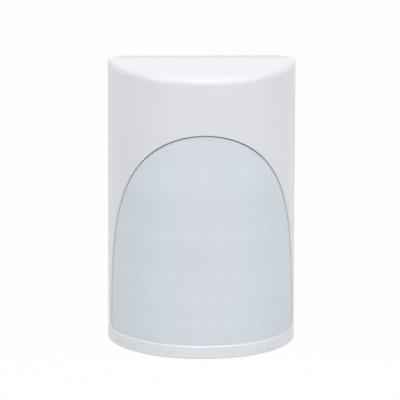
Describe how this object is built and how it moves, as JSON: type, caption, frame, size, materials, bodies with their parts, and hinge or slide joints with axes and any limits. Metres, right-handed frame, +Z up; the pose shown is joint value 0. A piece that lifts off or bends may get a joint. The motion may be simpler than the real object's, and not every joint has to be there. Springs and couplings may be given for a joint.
{
  "type": "wireless motion detector",
  "caption": "Upright wall-mounted wireless motion detector: a D-shaped white housing with a flat top, a large arched milky lens and a shallow back plate.",
  "frame": {"origin": "middle of the bounding box at the height of the housing's base", "axes": "+Z up, -Y the way the lens looks, +Y towards the wall, +X to the right seen from the front"},
  "size_m": [0.062, 0.043, 0.094],
  "materials": {
    "housing_plastic": "fine satin moulded white plastic",
    "lens_plastic": "milky bluish white infrared-clear plastic, satin",
    "frame_plastic": "plain moulded white plastic",
    "board_laminate": "green solder mask over copper tracks",
    "module_laminate": "blue solder mask",
    "black_plastic": "black moulded plastic",
    "jumper_plastic": "blue moulded plastic",
    "plunger_plastic": "red-brown moulded plastic",
    "can_metal": "drawn and plated sheet metal",
    "filter_glass": "dark coated infrared filter",
    "strip_metal": "bright stamped strip",
    "cell_wrap": "printed plastic wrap over a steel can, bare steel ends",
    "led_resin": "tinted clear resin",
    "resistor_body": "black film with tinned ends",
    "ceramic_body": "fired ceramic with tinned ends",
    "screw_steel": "zinc-plated steel"
  },
  "bodies": {
    "housing": {"front_cover": "housing_plastic", "fresnel_lens": "lens_plastic", "lens_retainer": "frame_plastic", "back_plate": "housing_plastic", "circuit_board": "board_laminate", "sensor_holder": "black_plastic", "pir_sensor": "can_metal", "pir_window": "filter_glass", "amplifier_chip": "black_plastic", "controller_chip": "black_plastic", "radio_board": "module_laminate", "radio_shield": "can_metal", "antenna": "strip_metal", "battery_cradle": "black_plastic", "battery": "cell_wrap", "battery_contact_positive": "strip_metal", "battery_contact_negative": "strip_metal", "tamper_switch": "black_plastic", "status_led": "led_resin", "pin_header": "black_plastic", "jumper_cap": "jumper_plastic", "crystal": "can_metal", "storage_capacitor": "can_metal", "chip_resistors": "resistor_body", "chip_capacitors": "ceramic_body", "board_screws": "screw_steel", "cover_screw": "screw_steel"},
    "plunger": {"tamper_plunger": "plunger_plastic"}
  },
  "joints": [
    {"name": "plunger_slide", "type": "slide", "parent": "housing", "child": "plunger", "axis": [0, 1, 0], "range_m": [0, 0.0005], "stiffness_N_per_m": 100, "springref_m": -0.002}
  ]
}
